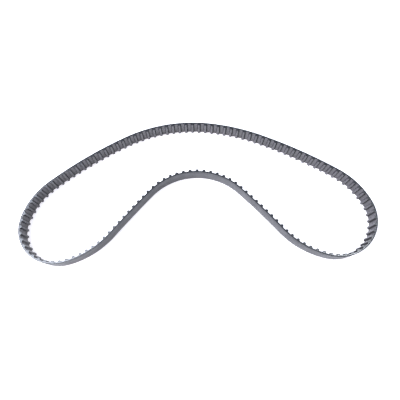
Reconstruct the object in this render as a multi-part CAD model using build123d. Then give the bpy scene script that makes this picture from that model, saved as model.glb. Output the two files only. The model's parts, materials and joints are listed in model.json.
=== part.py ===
"""An endless timing belt, standing on one cut edge in the kidney shape that it takes when nothing holds it.

All sizes are in millimetres. Z = 0 is the surface that the belt stands on, and +Z runs across its width. The
origin is below the middle of the loop's box: +X runs along the loop, and +Y from the hollow front run to the
back run. Teeth point into the loop.

The belt is four bonded layers, from the outside in: a rubber backing, glass-fibre tension cords that lie in
it at the pitch line, rubber tooth cores, and a thin woven facing over teeth and lands. It bends at the pitch
line. It is made here as spans that are hinged there, so that the loop can open out and fold in.

Offsets are measured from the pitch line, and are positive away from the loop's inside. Stations are lengths
along the pitch line, counter-clockwise seen from above, from the left end of the front crown.
"""

from build123d import *
from math import cos, pi, radians, sin, tan
import os

import numpy as np

# The loop
PITCH = 5.08
TEETH = 129
PITCH_LENGTH = PITCH * TEETH
WIDTH = 12.0

# The section across a tooth
BELT_THICKNESS = 2.3
TOOTH_HEIGHT = 1.27
TOOTH_ROOT_WIDTH = 2.57
FLANK_ANGLE = radians(25)
TOOTH_ROOT_RADIUS = 0.38
TOOTH_TIP_RADIUS = 0.38
LAND_DEPTH = 0.254  # from the pitch line in to the land between two teeth
FACING_THICKNESS = 0.09

# The tension cords
CORD_COUNT = 14
CORD_SPACING = 0.8
CORD_RADIUS = 0.125
CORD_CHANNEL_RADIUS = 0.135

# The relaxed shape is a ring of tangent arcs: (name, length, turn in degrees), where a turn to the left is
# positive. A length of None follows from the loop closing on itself with its whole pitch length.
ARCS = [
    ("front_crown", None, -91),
    ("right_flank", 43, -5),
    ("right_foot", 39, 36),
    ("right_lobe", 63, 127),
    ("right_shoulder", 33, 34),
    ("right_back", None, 10),
    ("right_crown", 41, 15),
    ("left_crown", 66, 34),
    ("left_back", None, 12),
    ("left_shoulder", 32, 35),
    ("left_lobe", 56, 122),
    ("left_foot", 38, 34),
    ("left_flank", 42, -3),
]
START_HEADING = radians(47.6)

# The spans: the first has one tooth less, and lies across the front crown
SPANS = 13
TEETH_IN_FIRST_SPAN = 9
TEETH_IN_SPAN = 10
FIRST_SPAN_STATION = 16.0
END_CLEARANCE = 0.05  # from a span's end to the hinge line
END_RELIEF = radians(12)  # each end face leans back by this angle, inside and outside the pitch line

BACK_OFFSET = BELT_THICKNESS - TOOTH_HEIGHT - LAND_DEPTH
LAND_OFFSET = -LAND_DEPTH
BOND_OFFSET = LAND_OFFSET + FACING_THICKNESS  # where the facing is bonded to the backing


def closed_lengths(turns):
    """The arcs' lengths. The open ones solve three equations: no gap in X, none in Y, and the pitch length."""
    starts = START_HEADING + np.concatenate(([0], np.cumsum(turns)[:-1]))
    chord = np.sinc(turns / (2 * pi))  # chord of an arc, as a part of its length
    middle = starts + turns / 2
    rows = np.array([chord * np.cos(middle), chord * np.sin(middle), np.ones(len(turns))])
    lengths = np.array([length or 0.0 for _, length, _ in ARCS])
    missing = [i for i, (_, length, _) in enumerate(ARCS) if length is None]
    target = np.array([0, 0, PITCH_LENGTH])
    lengths[missing] = np.linalg.solve(rows[:, missing], target - rows @ lengths)
    return lengths


class PitchLine:
    """The closed line along which the belt neither stretches nor shortens when it bends."""

    def __init__(self):
        turns = np.radians([turn for _, _, turn in ARCS])
        lengths = closed_lengths(turns)
        self.ends = np.cumsum(lengths)
        self.starts = self.ends - lengths
        self.curvatures = turns / lengths
        self.headings = START_HEADING + np.cumsum(turns) - turns
        self.corners = [(0.0, 0.0)]
        for end in self.ends[:-1]:
            self.corners.append(self.on_arc(len(self.corners) - 1, end)[:2])
        self.shift = (0.0, 0.0)

    def on_arc(self, arc, station):
        """X, Y and heading at a station of one arc."""
        x, y = self.corners[arc]
        heading = self.headings[arc]
        curvature = self.curvatures[arc]
        ahead = heading + curvature * (station - self.starts[arc])
        return (
            x + (sin(ahead) - sin(heading)) / curvature,
            y - (cos(ahead) - cos(heading)) / curvature,
            ahead,
        )

    def place(self, station):
        """X, Y and heading at any station, counted on past the start if need be."""
        station = station % PITCH_LENGTH
        arc = min(int(np.searchsorted(self.ends, station, side="right")), len(ARCS) - 1)
        x, y, heading = self.on_arc(arc, station)
        return x + self.shift[0], y + self.shift[1], heading

    def point(self, station, offset=0.0):
        """The point at an offset from the pitch line."""
        x, y, heading = self.place(station)
        return Vector(x + offset * sin(heading), y - offset * cos(heading))

    def centre_on_origin(self):
        """Move the loop so that the middle of its box is at X = 0, Y = 0."""
        steps = 5000
        places = np.array([self.place(PITCH_LENGTH * i / steps)[:2] for i in range(steps)])
        self.shift = tuple(-(places.min(axis=0) + places.max(axis=0)) / 2)

    def run(self, start, end, offset=0.0):
        """The edges from one station to another at an offset: an arc for each arc of the pitch line."""
        laps = [self.ends + lap * PITCH_LENGTH for lap in (-1, 0, 1)]
        breaks = [station for station in np.concatenate(laps) if start + 0.01 < station < end - 0.01]
        stations = [start] + breaks + [end]
        edges = []
        for a, b in zip(stations, stations[1:]):
            ends = self.point(a, offset), self.point(b, offset)
            edges.append(Edge.make_three_point_arc(ends[0], self.point((a + b) / 2, offset), ends[1]))
        return edges


line = PitchLine()
line.centre_on_origin()


def end_setback(offset):
    """How far back from the hinge line a span ends at an offset, so that it clears its neighbour as it bends."""
    return END_CLEARANCE + abs(offset) * tan(END_RELIEF)


def ribbon(start, end, outer, inner):
    """The plan of one layer of a span, between two offsets, with an end that comes to a ridge at the pitch line."""
    across = [outer, 0.0, inner] if inner < 0.0 < outer else [outer, inner]
    near = [line.point(start + end_setback(offset), offset) for offset in across]
    far = [line.point(end - end_setback(offset), offset) for offset in across]
    edges = line.run(start + end_setback(outer), end - end_setback(outer), outer)
    edges += line.run(start + end_setback(inner), end - end_setback(inner), inner)
    for side in (near, far):
        edges += [Edge.make_line(a, b) for a, b in zip(side, side[1:])]
    return Face(Wire.combine(edges)[0])


def tooth_plan(station, skin):
    """The plan of one tooth at a station, with a skin of some thickness taken off its land, flanks and tip."""
    land = LAND_DEPTH - skin
    tip = LAND_DEPTH + TOOTH_HEIGHT - skin
    floor = LAND_DEPTH / 2
    slope = tan(FLANK_ANGLE)
    root_half = TOOTH_ROOT_WIDTH / 2 + skin * slope - skin / cos(FLANK_ANGLE)
    tip_half = root_half - (tip - land) * slope
    foot_half = root_half + TOOTH_ROOT_RADIUS
    half = [(foot_half, floor), (foot_half, land), (root_half, land), (tip_half, tip)]
    outline = half + [(-x, y) for x, y in reversed(half)]
    plan = make_face(Polyline(*outline, close=True))
    at_tip = plan.vertices().filter_by(lambda v: abs(v.Y - tip) < 1e-6)
    plan = fillet(at_tip, TOOTH_TIP_RADIUS - skin)
    at_root = plan.vertices().filter_by(lambda v: abs(v.Y - land) < 1e-6 and abs(v.X) < foot_half - 0.01)
    plan = fillet(at_root, TOOTH_ROOT_RADIUS + skin)
    x, y, heading = line.place(station)
    return Plane(origin=(x, y, 0), x_dir=(cos(heading), sin(heading), 0), z_dir=(0, 0, 1)) * plan


def strand(start, end, radius, height):
    """A round strand along the pitch line at some height above the lower edge."""
    path = Wire(line.run(start, end))
    x, y, heading = line.place(start)
    section = Plane(origin=(x, y, 0), z_dir=(cos(heading), sin(heading), 0)) * Circle(radius)
    return Pos(0, 0, height) * sweep(section, path=path)


def cord_heights():
    """The heights of the cords, which are spread evenly about the middle of the width."""
    lowest = (WIDTH - CORD_SPACING * (CORD_COUNT - 1)) / 2
    return [lowest + CORD_SPACING * i for i in range(CORD_COUNT)]


def backing(start, end):
    """The rubber backing of a span, with a channel for each cord."""
    blank = extrude(ribbon(start, end, BACK_OFFSET, BOND_OFFSET), WIDTH, dir=(0, 0, 1))
    channel = strand(start - 0.5, end + 0.5, CORD_CHANNEL_RADIUS, 0)
    return blank - [Pos(0, 0, height) * channel for height in cord_heights()]


def tension_cords(start, end):
    """The cords of a span, side by side in their channels."""
    setback = end_setback(CORD_CHANNEL_RADIUS)
    cord = strand(start + setback, end - setback, CORD_RADIUS, 0)
    return Compound([Pos(0, 0, height) * cord.solid() for height in cord_heights()])


def tooth_cores(start, end, stations):
    """The rubber inside each tooth of a span, down to the backing."""
    below = ribbon(start, end, BACK_OFFSET, BOND_OFFSET)
    cores = [tooth_plan(station, FACING_THICKNESS) - below for station in stations]
    return Compound([extrude(core, WIDTH, dir=(0, 0, 1)).solid() for core in cores])


def tooth_facing(start, end, stations):
    """The woven skin of a span, over its lands and around its teeth."""
    land = ribbon(start, end, BOND_OFFSET, LAND_OFFSET)
    below = ribbon(start, end, BACK_OFFSET, BOND_OFFSET)
    outside = Sketch() + [land] + [tooth_plan(station, 0.0) for station in stations]
    inside = [tooth_plan(station, FACING_THICKNESS) for station in stations]
    return extrude(outside - [below] - inside, WIDTH, dir=(0, 0, 1))


def spans():
    """Number, first station, last station and tooth stations of each span."""
    start = FIRST_SPAN_STATION
    for number in range(1, SPANS + 1):
        teeth = TEETH_IN_FIRST_SPAN if number == 1 else TEETH_IN_SPAN
        stations = [start + (i + 0.5) * PITCH for i in range(teeth)]
        yield number, start, start + teeth * PITCH, stations
        start += teeth * PITCH


os.makedirs("parts", exist_ok=True)
for number, start, end, stations in spans():
    layers = {
        "backing": backing(start, end),
        "tension_cords": tension_cords(start, end),
        "tooth_cores": tooth_cores(start, end, stations),
        "tooth_facing": tooth_facing(start, end, stations),
    }
    for name, layer in layers.items():
        export_step(layer, f"parts/{name}_{number:02d}.step")
    hinge = line.point(start)
    print(f"span {number:2d}: {len(stations)} teeth, hinge at X {hinge.X:.4f} Y {hinge.Y:.4f}")
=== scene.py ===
"""The looks of the timing belt: its four layers as continuous pieces that run from span to span."""

import json
import math

import bmesh
import bpy
import numpy as np
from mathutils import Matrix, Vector

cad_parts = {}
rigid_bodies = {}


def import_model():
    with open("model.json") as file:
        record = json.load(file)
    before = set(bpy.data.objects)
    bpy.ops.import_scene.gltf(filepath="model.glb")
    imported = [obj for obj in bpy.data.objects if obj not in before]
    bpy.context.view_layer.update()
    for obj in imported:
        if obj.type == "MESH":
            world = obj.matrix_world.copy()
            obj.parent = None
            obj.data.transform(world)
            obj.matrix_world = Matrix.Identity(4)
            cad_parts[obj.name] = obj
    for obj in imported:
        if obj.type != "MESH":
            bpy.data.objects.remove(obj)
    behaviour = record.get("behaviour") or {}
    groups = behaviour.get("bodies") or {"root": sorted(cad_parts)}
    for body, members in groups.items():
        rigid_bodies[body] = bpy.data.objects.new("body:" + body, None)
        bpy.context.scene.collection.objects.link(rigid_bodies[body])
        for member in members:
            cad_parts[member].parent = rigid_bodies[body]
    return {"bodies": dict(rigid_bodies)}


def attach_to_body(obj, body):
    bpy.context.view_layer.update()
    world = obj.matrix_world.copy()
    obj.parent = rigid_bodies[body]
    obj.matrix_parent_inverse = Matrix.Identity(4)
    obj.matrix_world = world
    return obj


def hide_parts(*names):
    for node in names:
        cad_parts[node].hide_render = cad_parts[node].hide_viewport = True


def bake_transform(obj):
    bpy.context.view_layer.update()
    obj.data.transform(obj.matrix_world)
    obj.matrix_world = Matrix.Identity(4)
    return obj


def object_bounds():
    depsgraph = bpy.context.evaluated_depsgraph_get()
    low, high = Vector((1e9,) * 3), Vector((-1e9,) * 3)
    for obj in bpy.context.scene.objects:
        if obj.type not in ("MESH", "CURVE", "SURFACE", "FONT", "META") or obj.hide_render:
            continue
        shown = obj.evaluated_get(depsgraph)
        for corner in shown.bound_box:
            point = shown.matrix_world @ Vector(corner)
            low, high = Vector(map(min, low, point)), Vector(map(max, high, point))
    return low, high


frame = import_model()
cad_low, cad_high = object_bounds()

MM = 0.001

# The loop, as the design has it
PITCH = 5.08 * MM
TEETH_IN_FIRST_SPAN = 9
TEETH_IN_SPAN = 10
SPANS = len(frame["bodies"])
TEETH = TEETH_IN_FIRST_SPAN + TEETH_IN_SPAN * (SPANS - 1)
PITCH_LENGTH = PITCH * TEETH
FIRST_SPAN_STATION = 16.0 * MM
START_HEADING = math.radians(47.6)
ARCS = [  # length in mm, or None where it follows from the loop closing, and turn in degrees
    (None, -91),
    (43, -5),
    (39, 36),
    (63, 127),
    (33, 34),
    (None, 10),
    (41, 15),
    (66, 34),
    (None, 12),
    (32, 35),
    (56, 122),
    (38, 34),
    (42, -3),
]

# The section
WIDTH = cad_high.z - cad_low.z
BELT_THICKNESS = 2.3 * MM
TOOTH_HEIGHT = 1.27 * MM
TOOTH_ROOT_WIDTH = 2.57 * MM
FLANK_ANGLE = math.radians(25)
FILLET_RADIUS = 0.38 * MM
LAND_DEPTH = 0.254 * MM
FACING_THICKNESS = 0.09 * MM
BACK_OFFSET = BELT_THICKNESS - TOOTH_HEIGHT - LAND_DEPTH
BOND_DEPTH = LAND_DEPTH - FACING_THICKNESS
CORD_COUNT = 14
CORD_SPACING = 0.8 * MM
CORD_RADIUS = 0.125 * MM

CORD_PLY_DEPTH = 0.1  # how far the groove between a cord's two plies goes in, as a part of its radius
CORD_LAY = 2 * MM  # the length along which the plies turn by one radian

# The edges that the knife leaves are a little round
BACK_ROUND = 0.07 * MM
FACING_ROUND = BACK_ROUND / 2
ROUND_MIDDLE = 0.3  # how far in the middle of a rounded edge lies, as a part of its radius

# How finely the pieces are meshed
CENTRING_STEPS = 5000
FILLET_STEPS = 5
BACK_STEP = PITCH / 6
CORD_STEP = PITCH / 4
CORD_SIDES = 8
SAME_STATION = 1e-4 * MM
WELD_DISTANCE = 0.0005 * MM
SHARP_ANGLE = math.radians(40)
LEVEL_NORMAL = 0.9  # a face whose normal is at least this upright lies on a cut edge

# Where the loop is open, and where its pieces end
OPEN_END = 7  # the loop is open between this span and the next
SEAM_CLEARANCE = 0.005 * MM  # on each side of that seam, too little to see
STEADY_SHARE = 0.12  # the part at each end of a piece, as a share of its length


def closed_lengths(turns):
    """The arcs' lengths, of which the open ones close the loop and make up the pitch length."""
    starts = START_HEADING + np.concatenate(([0], np.cumsum(turns)[:-1]))
    chord = np.sinc(turns / (2 * np.pi))
    middle = starts + turns / 2
    rows = np.array([chord * np.cos(middle), chord * np.sin(middle), np.ones(len(turns))])
    lengths = np.array([(length or 0) * MM for length, _ in ARCS])
    missing = [i for i, (length, _) in enumerate(ARCS) if length is None]
    target = np.array([0, 0, PITCH_LENGTH])
    lengths[missing] = np.linalg.solve(rows[:, missing], target - rows @ lengths)
    return lengths


class PitchLine:
    """The closed line of tangent arcs that the belt follows."""

    def __init__(self):
        turns = np.radians([turn for _, turn in ARCS])
        lengths = closed_lengths(turns)
        self.ends = np.cumsum(lengths)
        self.starts = self.ends - lengths
        self.curvatures = turns / lengths
        self.headings = START_HEADING + np.cumsum(turns) - turns
        self.corners = np.zeros((len(ARCS), 2))
        for i in range(1, len(ARCS)):
            self.corners[i] = self.on_arcs(np.array([i - 1]), self.ends[i - 1 : i])[0][0]
        every = self.place(np.linspace(0, PITCH_LENGTH, CENTRING_STEPS))[0]
        self.corners -= (every.min(axis=0) + every.max(axis=0)) / 2

    def on_arcs(self, arcs, stations):
        """Places and headings at stations on the given arcs."""
        heading = self.headings[arcs]
        curvature = self.curvatures[arcs]
        ahead = heading + curvature * (stations - self.starts[arcs])
        step = np.stack([np.sin(ahead) - np.sin(heading), np.cos(heading) - np.cos(ahead)], axis=1)
        return self.corners[arcs] + step / curvature[:, None], ahead

    def place(self, stations):
        """Places and headings at any stations."""
        stations = np.mod(stations, PITCH_LENGTH)
        arcs = np.minimum(np.searchsorted(self.ends, stations, side="right"), len(ARCS) - 1)
        return self.on_arcs(arcs, stations)

    def points(self, stations, depths):
        """Points at depths below the pitch line, towards the inside of the loop."""
        at, heading = self.place(np.asarray(stations, float))
        inward = np.stack([-np.sin(heading), np.cos(heading)], axis=1)
        return at + inward * np.asarray(depths, float)[:, None]


line = PitchLine()


# ---------------------------------------------------------------- the layers' plans


def corner_arc(x, y, radius, first, last):
    """Points of a round corner about a centre, between two angles in degrees."""
    angles = np.radians(np.linspace(first, last, FILLET_STEPS + 1))
    return [(x + radius * math.cos(a), y + radius * math.sin(a)) for a in angles]


def tooth_outline(skin):
    """(along, depth) from foot to foot over the tip of a tooth, with a skin taken off."""
    land = LAND_DEPTH - skin
    tip = land + TOOTH_HEIGHT
    slope = math.tan(FLANK_ANGLE)
    root_half = TOOTH_ROOT_WIDTH / 2 + skin * slope - skin / math.cos(FLANK_ANGLE)
    tip_half = root_half - TOOTH_HEIGHT * slope
    lean = math.degrees(FLANK_ANGLE)
    corner = math.tan((math.pi / 2 - FLANK_ANGLE) / 2)
    root_radius = FILLET_RADIUS + skin
    tip_radius = FILLET_RADIUS - skin
    root_x = -(root_half + root_radius * corner)
    tip_x = -(tip_half - tip_radius * corner)
    half = corner_arc(root_x, land + root_radius, root_radius, -90, -lean)
    half += corner_arc(tip_x, tip - tip_radius, tip_radius, 180 - lean, 90)
    return np.array(half + [(0, tip)] + [(-x, y) for x, y in reversed(half)])


def toothed_run(start, end, skin):
    """(station, depth) along the toothed side from one station to another, with a skin taken off."""
    outline = tooth_outline(skin)
    land = LAND_DEPTH - skin
    first = math.floor((start - FIRST_SPAN_STATION) / PITCH)
    last = math.ceil((end - FIRST_SPAN_STATION) / PITCH)
    rows = []
    for number in range(first, last):
        left = FIRST_SPAN_STATION + number * PITCH
        rows.append((left, land))
        rows += [(left + PITCH / 2 + x, y) for x, y in outline]
    rows.append((FIRST_SPAN_STATION + last * PITCH, land))
    rows = np.array(rows)
    inside = (rows[:, 0] > start + SAME_STATION) & (rows[:, 0] < end - SAME_STATION)
    ends = [(s, np.interp(s, rows[:, 0], rows[:, 1])) for s in (start, end)]
    return np.array([ends[0]] + list(rows[inside]) + [ends[1]])


# ---------------------------------------------------------------- meshes


def weld(mesh):
    """Join vertices that coincide, which removes faces without area, as at the foot of a tooth."""
    work = bmesh.new()
    work.from_mesh(mesh)
    bmesh.ops.remove_doubles(work, verts=work.verts, dist=WELD_DISTANCE)
    work.to_mesh(mesh)
    work.free()


def new_piece(name, vertices, faces, uvs):
    """A mesh object with smooth faces, sharp edges and a UV of (station, height or depth) in metres."""
    mesh = bpy.data.meshes.new(name)
    mesh.from_pydata([tuple(v) for v in vertices], [], faces)
    layer = mesh.uv_layers.new(name="belt")
    corners = np.zeros(len(mesh.loops), np.int32)
    mesh.loops.foreach_get("vertex_index", corners)
    layer.data.foreach_set("uv", np.asarray(uvs, np.float32)[corners].ravel())
    weld(mesh)
    mesh.validate()
    mesh.shade_smooth()
    mesh.set_sharp_from_angle(angle=SHARP_ANGLE)
    piece = bpy.data.objects.new(name, mesh)
    bpy.context.scene.collection.objects.link(piece)
    return piece


def bar_from_rings(rings):
    """Vertices, faces and UVs of a closed bar from rings of (x, y, z, station, side) points."""
    count = len(rings[0])
    vertices = np.concatenate([ring[:, :3] for ring in rings])
    uvs = np.concatenate([ring[:, 3:] for ring in rings])
    faces = []
    for i in range(len(rings) - 1):
        a, b = i * count, (i + 1) * count
        for k in range(count):
            n = (k + 1) % count
            faces.append((a + k, a + n, b + n, b + k))
    faces.append(tuple(reversed(range(count))))
    faces.append(tuple(range((len(rings) - 1) * count, len(rings) * count)))
    return vertices, faces, uvs


def bar_rings(stations, section):
    """Rings of a bar: section(i) gives (depth, height) points for station number i."""
    rings = []
    for i, station in enumerate(stations):
        points = np.array(section(i))
        plan = line.points(np.full(len(points), station), points[:, 0])
        side = points[:, 1] + points[:, 0]
        rings.append(np.column_stack([plan, points[:, 1], np.full(len(points), station), side]))
    return rings


def backing_mesh(name, start, end):
    """The rubber backing: a strip with slightly rounded outer edges."""
    count = max(2, int(round((end - start) / BACK_STEP)) + 1)
    stations = np.linspace(start, end, count)
    outer = -BACK_OFFSET
    soft = BACK_ROUND
    corner = BACK_ROUND * ROUND_MIDDLE
    section = [
        (0, 0),
        (BOND_DEPTH, 0),
        (BOND_DEPTH, WIDTH),
        (0, WIDTH),
        (outer + soft, WIDTH),
        (outer + corner, WIDTH - corner),
        (outer, WIDTH - soft),
        (outer, WIDTH * 2 / 3),
        (outer, WIDTH / 3),
        (outer, soft),
        (outer + corner, corner),
        (outer + soft, 0),
    ]
    return new_piece(name, *bar_from_rings(bar_rings(stations, lambda i: section)))


def facing_mesh(name, start, end):
    """The woven facing: a thin skin that follows the teeth, with a slightly rounded edge."""
    air = toothed_run(start, end, 0.0)
    bond = toothed_run(start, end, FACING_THICKNESS)
    soft = FACING_ROUND
    rings = []
    for (s_air, d_air), (s_bond, d_bond) in zip(air, bond):
        depths = np.array([d_air - soft, d_air, d_air, d_air, d_air, d_air - soft, d_bond, d_bond])
        heights = np.array([0, soft, WIDTH / 3, WIDTH * 2 / 3, WIDTH - soft, WIDTH, WIDTH, 0])
        stations = np.array([s_air] * 6 + [s_bond] * 2)
        plan = line.points(stations, depths)
        rings.append(np.column_stack([plan, heights, stations, heights]))
    return new_piece(name, *bar_from_rings(rings))


def cut_outline(along, depth, start, end):
    """The part of an outline between two stations, with new points where it is cut."""
    inside = (along > start) & (along < end)
    cuts = [station for station in (start, end) if along[0] < station < along[-1]]
    stations = np.sort(np.concatenate([along[inside], cuts]))
    return stations, np.interp(stations, along, depth)


def core_mesh(name, start, end):
    """The rubber inside every tooth between two stations, each a closed block."""
    outline = tooth_outline(FACING_THICKNESS)
    vertices, faces, uvs = [], [], []
    first = math.floor((start - FIRST_SPAN_STATION) / PITCH)
    last = math.ceil((end - FIRST_SPAN_STATION) / PITCH)
    for number in range(first, last):
        middle = FIRST_SPAN_STATION + (number + 0.5) * PITCH
        along, depth = cut_outline(middle + outline[:, 0], outline[:, 1], start, end)
        if len(along) < 2:
            continue
        base = len(vertices)
        count = len(along)
        for height in (0, WIDTH):
            for depths in (depth, np.full(count, BOND_DEPTH)):
                plan = line.points(along, depths)
                vertices += [(x, y, height) for x, y in plan]
                uvs += [(s, height + d) for s, d in zip(along, depths)]
        low_tip, low_base, high_tip, high_base = (base + count * k for k in range(4))
        for i in range(count - 1):
            faces.append((low_tip + i, low_tip + i + 1, low_base + i + 1, low_base + i))
            faces.append((high_tip + i, high_base + i, high_base + i + 1, high_tip + i + 1))
            faces.append((low_tip + i, high_tip + i, high_tip + i + 1, low_tip + i + 1))
            faces.append((low_base + i, low_base + i + 1, high_base + i + 1, high_base + i))
        for i, turned in ((0, False), (count - 1, True)):
            end_face = (low_tip + i, low_base + i, high_base + i, high_tip + i)
            faces.append(tuple(reversed(end_face)) if turned else end_face)
    return new_piece(name, vertices, faces, uvs)


def cord_mesh(name, start, end):
    """The tension cords between two stations, each a two-ply twisted strand."""
    count = max(2, int(round((end - start) / CORD_STEP)) + 1)
    stations = np.linspace(start, end, count)
    lowest = (WIDTH - CORD_SPACING * (CORD_COUNT - 1)) / 2
    vertices, faces, uvs = [], [], []
    for number in range(CORD_COUNT):
        height = lowest + CORD_SPACING * number
        angles = np.arange(CORD_SIDES) * 2 * math.pi / CORD_SIDES

        def section(i):
            twist = stations[i] / CORD_LAY
            radius = CORD_RADIUS * (1 - CORD_PLY_DEPTH + CORD_PLY_DEPTH * np.cos(2 * (angles - twist)))
            return np.stack([radius * np.cos(angles), height + radius * np.sin(angles)], axis=1)

        v, f, uv = bar_from_rings(bar_rings(stations, section))
        faces += [tuple(len(vertices) + k for k in face) for face in f]
        vertices += list(v)
        uvs += list(uv)
    return new_piece(name, vertices, faces, uvs)


# ---------------------------------------------------------------- materials

NOISE_LOW, NOISE_HIGH = 0.3, 0.7
THREAD_SPACING = 0.5 * MM


class Shader:
    """A small helper to wire a material's nodes."""

    def __init__(self, name):
        self.material = bpy.data.materials.new(name)
        self.material.use_nodes = True
        self.tree = self.material.node_tree
        self.surface = self.tree.nodes["Principled BSDF"]
        self.place = self.tree.nodes.new("ShaderNodeTexCoord").outputs["Object"]
        uv = self.tree.nodes.new("ShaderNodeUVMap")
        uv.uv_map = "belt"
        self.belt = uv.outputs["UV"]

    def node(self, kind, **values):
        """A node with its properties and inputs set, or linked where a value is a socket."""
        made = self.tree.nodes.new(kind)
        for key, value in values.items():
            if hasattr(made, key):
                setattr(made, key, value)
                continue
            socket = made.inputs[key.replace("_", " ")]
            if isinstance(value, bpy.types.NodeSocket):
                self.tree.links.new(value, socket)
            else:
                socket.default_value = value
        return made

    def link(self, output, name):
        """Send an output to a socket of the surface."""
        self.tree.links.new(output, self.surface.inputs[name])

    def stretched(self, source, scale):
        """Coordinates scaled on each axis."""
        return self.node("ShaderNodeMapping", Vector=source, Scale=scale).outputs["Vector"]

    def noise(self, source, scale, detail=3.0):
        """Noise from 0 to 1, but mostly from NOISE_LOW to NOISE_HIGH, with a grain of about 1 / scale."""
        made = self.node("ShaderNodeTexNoise", Vector=source, Scale=scale, Detail=detail, Roughness=0.55)
        return made.outputs["Fac"]

    def ramp(self, fac, stops):
        """A colour ramp from (place, colour) stops."""
        made = self.node("ShaderNodeValToRGB", Fac=fac)
        elements = made.color_ramp.elements
        while len(elements) < len(stops):
            elements.new(0.5)
        for element, (place, colour) in zip(elements, stops):
            element.position = place
            element.color = (*colour, 1)
        return made.outputs["Color"]

    def span(self, fac, low, high):
        """A number from low to high as fac goes from NOISE_LOW to NOISE_HIGH."""
        made = self.node("ShaderNodeMapRange", Value=fac)
        made.inputs["From Min"].default_value = NOISE_LOW
        made.inputs["From Max"].default_value = NOISE_HIGH
        made.inputs["To Min"].default_value = low
        made.inputs["To Max"].default_value = high
        return made.outputs["Result"]

    def calc(self, operation, a, b=0.0):
        """One arithmetic step on one or two sockets or numbers."""
        made = self.tree.nodes.new("ShaderNodeMath")
        made.operation = operation
        for socket, value in zip(made.inputs, (a, b)):
            if isinstance(value, bpy.types.NodeSocket):
                self.tree.links.new(value, socket)
            else:
                socket.default_value = value
        return made.outputs["Value"]

    def mix(self, fac, first, second):
        """The first colour's socket where fac is 0, and the second colour where it is 1."""
        made = self.node("ShaderNodeMix", data_type="RGBA")
        inputs = {socket.identifier: socket for socket in made.inputs}
        self.tree.links.new(fac, inputs["Factor_Float"])
        self.tree.links.new(first, inputs["A_Color"])
        inputs["B_Color"].default_value = (*second, 1)
        return next(socket for socket in made.outputs if socket.identifier == "Result_Color")

    def bump(self, height, strength, distance):
        """Bump on the surface from a height."""
        made = self.node("ShaderNodeBump", Height=height, Strength=strength, Distance=distance)
        self.link(made.outputs["Normal"], "Normal")


def rubber_back():
    """Smooth ground rubber: fine grinding lines across the belt, and a soft bloom in patches."""
    shader = Shader("backing_rubber")
    bloom = shader.noise(shader.place, 90.0, 4.0)
    lines = shader.noise(shader.stretched(shader.belt, (9000, 120, 1)), 1.0, 2.0)
    speck = shader.noise(shader.place, 2600.0, 2.0)
    tone = shader.ramp(bloom, [(NOISE_LOW, (0.019, 0.020, 0.025)), (NOISE_HIGH, (0.029, 0.030, 0.037))])
    shader.link(tone, "Base Color")
    shader.link(shader.span(shader.noise(shader.place, 160.0, 3.0), 0.40, 0.52), "Roughness")
    shader.surface.inputs["Specular IOR Level"].default_value = 0.5
    height = shader.calc("ADD", shader.calc("MULTIPLY", lines, 0.6), shader.calc("MULTIPLY", speck, 0.4))
    shader.bump(height, 0.25, 0.00004)
    return shader.material


def cut_rubber(name, shine, least_rough, most_rough):
    """Knife-cut rubber with drag marks along the belt: the backing's edge shines more than the teeth's."""
    shader = Shader(name)
    drag = shader.noise(shader.stretched(shader.belt, (500, 16000, 1)), 1.0, 3.0)
    grain = shader.noise(shader.place, 1800.0, 3.0)
    tone = shader.ramp(drag, [(0.3, (0.014, 0.015, 0.018)), (0.75, (0.032, 0.033, 0.038))])
    shader.link(tone, "Base Color")
    shader.link(shader.span(grain, least_rough, most_rough), "Roughness")
    shader.surface.inputs["Specular IOR Level"].default_value = shine
    height = shader.calc("ADD", shader.calc("MULTIPLY", drag, 0.6), shader.calc("MULTIPLY", grain, 0.4))
    shader.bump(height, 0.28, 0.00005)
    return shader.material


def woven_facing():
    """Rubbered nylon cloth: a fine plain weave, polished on lands and tips, rougher on the flanks, and
    with painted shade darkening the flanks.
    """
    shader = Shader("facing_fabric")
    turns = 2 * math.pi / THREAD_SPACING
    split = shader.node("ShaderNodeSeparateXYZ", Vector=shader.belt)
    along = shader.calc("SINE", shader.calc("MULTIPLY", split.outputs["X"], turns))
    across = shader.calc("SINE", shader.calc("MULTIPLY", split.outputs["Y"], turns))
    weave = shader.calc("MULTIPLY", along, across)
    painted_shade_and_dullness = flank_painted_shade_and_dullness(shader, split.outputs["X"])
    wear = shader.noise(shader.place, 140.0, 4.0)
    cloth = shader.ramp(wear, [(NOISE_LOW, (0.012, 0.010, 0.015)), (NOISE_HIGH, (0.036, 0.033, 0.044))])
    # Painted shade: where the flank mask is high, the cloth colour is mixed towards near black.
    shader.link(shader.mix(painted_shade_and_dullness, cloth, (0.006, 0.006, 0.008)), "Base Color")
    polish = shader.span(shader.noise(shader.place, 420.0, 3.0), 0.15, 0.34)
    shader.link(shader.calc("ADD", polish, shader.calc("MULTIPLY", painted_shade_and_dullness, 0.6)), "Roughness")
    shader.surface.inputs["Specular IOR Level"].default_value = 0.5
    shader.surface.inputs["Sheen Weight"].default_value = 0.05
    shader.surface.inputs["Sheen Roughness"].default_value = 0.4
    fuzz = shader.noise(shader.place, 2200.0, 2.0)
    shader.bump(shader.calc("ADD", shader.calc("MULTIPLY", weave, 0.7), fuzz), 0.5, 0.00004)
    return shader.material


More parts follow.
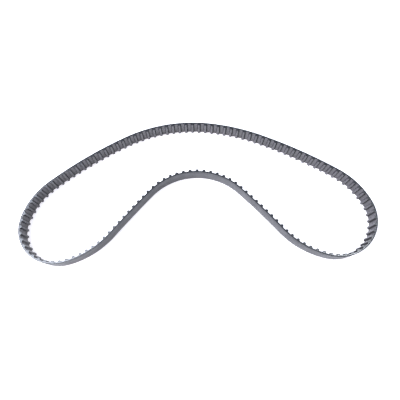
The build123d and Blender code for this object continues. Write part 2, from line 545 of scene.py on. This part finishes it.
def flank_painted_shade_and_dullness(shader, station):
    """Painted shade and extra roughness on the teeth's flanks: 1 on one flank of every tooth, painted dark
    as if it lay in shade, and a quarter on the other flank.

    The places on the ramp are parts of the pitch, from one land's middle to the next.
    """
    count = shader.calc("DIVIDE", shader.calc("SUBTRACT", station, FIRST_SPAN_STATION), PITCH)
    phase = shader.calc("FRACT", count)
    polished, faint_painted_shade, painted_shade_and_dullness = (0, 0, 0), (0.25, 0.25, 0.25), (1, 1, 1)
    # Painted shade: the first flank of each tooth is painted fully dark, the second a quarter as dark.
    deeply_shaded_flank = [(0.17, polished), (0.23, painted_shade_and_dullness), (0.34, painted_shade_and_dullness), (0.38, polished)]
    faintly_shaded_flank = [(0.62, polished), (0.68, faint_painted_shade), (0.76, faint_painted_shade), (0.82, polished)]
    return shader.ramp(phase, deeply_shaded_flank + faintly_shaded_flank)


def glass_cord():
    """Twisted glass fibre with an adhesive dip."""
    shader = Shader("glass_cord")
    strands = shader.noise(shader.stretched(shader.belt, (900, 9000, 1)), 1.0, 2.0)
    tone = shader.ramp(strands, [(NOISE_LOW, (0.30, 0.24, 0.15)), (NOISE_HIGH, (0.55, 0.47, 0.33))])
    shader.link(tone, "Base Color")
    shader.link(shader.span(strands, 0.35, 0.6), "Roughness")
    shader.bump(strands, 0.3, 0.00003)
    return shader.material


def floor_finish():
    """A plain white light table: it glows a little, so that shadows stay pale."""
    shader = Shader("studio_floor")
    tone = shader.noise(shader.place, 3.0, 2.0)
    shader.link(shader.ramp(tone, [(0.2, (0.90, 0.90, 0.905)), (0.8, (0.93, 0.93, 0.935))]), "Base Color")
    shader.surface.inputs["Roughness"].default_value = 0.7
    shader.surface.inputs["Specular IOR Level"].default_value = 0.1
    shader.surface.inputs["Emission Color"].default_value = (1.0, 0.93, 0.99, 1)
    shader.surface.inputs["Emission Strength"].default_value = TABLE_GLOW
    return shader.material


def edge_faces(piece, material):
    """Give the faces on the two cut edges a second material."""
    piece.data.materials.append(material)
    for polygon in piece.data.polygons:
        if abs(polygon.normal.z) > LEVEL_NORMAL:
            polygon.material_index = len(piece.data.materials) - 1


# ---------------------------------------------------------------- the belt


def span_bounds():
    """The first and last station of each span, by its number."""
    bounds = {}
    start = FIRST_SPAN_STATION
    for number in range(1, SPANS + 1):
        teeth = TEETH_IN_FIRST_SPAN if number == 1 else TEETH_IN_SPAN
        bounds[number] = (start, start + teeth * PITCH)
        start += teeth * PITCH
    return bounds


def stretches():
    """Each stretch of belt: its name, two ends, the spans that it lies over and those it stands for."""
    bounds = span_bounds()
    middle = {number: sum(ends) / 2 for number, ends in bounds.items()}
    for number in range(1, SPANS + 1):
        after = number % SPANS + 1
        end = middle[after] + (PITCH_LENGTH if after == 1 else 0)
        stood_for = [number] if number < OPEN_END else [after]
        if number == OPEN_END:
            seam = bounds[number][1]
            yield f"{number:02d}_end", middle[number], seam - SEAM_CLEARANCE, [number], [number]
            yield f"{after:02d}_end", seam + SEAM_CLEARANCE, end, [after], [after]
        else:
            yield f"{number:02d}_{after:02d}", middle[number], end, [number, after], stood_for


def attach(piece, start, end, bodies):
    """Ride on one span; a piece over two spans only stays where it is, baked into the world's frame."""
    names = [f"span_{number:02d}" for number in bodies]
    if len(names) == 1:
        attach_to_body(piece, names[0])
        return
    inset = (end - start) * STEADY_SHARE
    near, far = line.points([start + inset, end - inset], [0, 0])
    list(near)
    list(far)
    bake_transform(piece)


back = rubber_back()
cut_back = cut_rubber("cut_back", 0.46, 0.16, 0.23)
cut_tooth = cut_rubber("cut_tooth", 0.36, 0.22, 0.32)
facing = woven_facing()
cord = glass_cord()

LAYERS = [  # name, mesh builder, face material, edge material, record slot
    ("backing", backing_mesh, back, cut_back, "backing_rubber"),
    ("tooth_facing", facing_mesh, facing, cut_tooth, "facing_fabric"),
    ("tooth_cores", core_mesh, cut_tooth, None, "tooth_rubber"),
    ("tension_cords", cord_mesh, cord, None, "glass_cord"),
]

for label, start, end, bodies, stood_for in stretches():
    for layer, build, face, edge, slot in LAYERS:
        piece = build(f"belt_{layer}_{label}", start, end)
        piece.data.materials.append(face)
        if edge:
            edge_faces(piece, edge)
        attach(piece, start, end, bodies)
        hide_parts(*[f"{layer}_{number:02d}" for number in stood_for])


# ---------------------------------------------------------------- the studio

TABLE_GLOW = 0.60
TABLE_REACH = 6.0
WORLD_COLOUR = (0.78, 0.90, 1.0)
WORLD_STRENGTH = 0.62
LIGHTS = [  # name, place in metres, size, power, colour
    ("key_high", (-0.43, 0.07, 0.78), 0.34, 9.0, (0.82, 0.88, 1.0)),
    ("key_left", (-0.80, -0.35, 0.30), 0.50, 11.0, (1.0, 0.93, 0.98)),
    ("glint_right", (0.405, 0.085, 0.70), 0.05, 1.5, (0.88, 0.93, 1.0)),
]
CAMERA_PLACE = (0.2 * MM, -89.7 * MM, 254.2 * MM)
CAMERA_DOWN = math.radians(76.3)
CAMERA_LENS = 31.45
CAMERA_SENSOR = 36.0
CAMERA_SHIFT = (0.0027, 0.0755)


def add_floor():
    """A wide pale floor at the belt's lower edge."""
    reach = TABLE_REACH
    mesh = bpy.data.meshes.new("studio_floor")
    corners = [(-reach, -reach), (reach, -reach), (reach, reach), (-reach, reach)]
    mesh.from_pydata([(x, y, cad_low.z) for x, y in corners], [], [(0, 1, 2, 3)])
    mesh.materials.append(floor_finish())
    floor = bpy.data.objects.new("studio_floor", mesh)
    bpy.context.scene.collection.objects.link(floor)


def add_light(name, place, size, power, colour):
    """A soft square light that points at the middle of the loop."""
    data = bpy.data.lights.new(name, "AREA")
    data.size = size
    data.energy = power
    data.color = colour
    light = bpy.data.objects.new(name, data)
    light.location = place
    light.rotation_mode = "QUATERNION"
    light.rotation_quaternion = (-Vector(place)).to_track_quat("-Z", "Y")
    bpy.context.scene.collection.objects.link(light)


def add_world():
    """Even, pale blue light from all round."""
    world = bpy.data.worlds.new("studio")
    world.use_nodes = True
    background = world.node_tree.nodes["Background"]
    background.inputs["Color"].default_value = (*WORLD_COLOUR, 1)
    background.inputs["Strength"].default_value = WORLD_STRENGTH
    bpy.context.scene.world = world


def add_camera():
    """A high camera in front of the hollow side, looking down, and framed a little above its axis."""
    data = bpy.data.cameras.new("camera")
    data.sensor_width = CAMERA_SENSOR
    data.lens = CAMERA_LENS
    data.shift_x, data.shift_y = CAMERA_SHIFT
    camera = bpy.data.objects.new("camera", data)
    camera.location = CAMERA_PLACE
    camera.rotation_euler = (math.pi / 2 - CAMERA_DOWN, 0, 0)
    bpy.context.scene.collection.objects.link(camera)
    bpy.context.scene.camera = camera


add_floor()
add_world()
for light in LIGHTS:
    add_light(*light)
add_camera()
bpy.context.scene.view_settings.view_transform = "Standard"
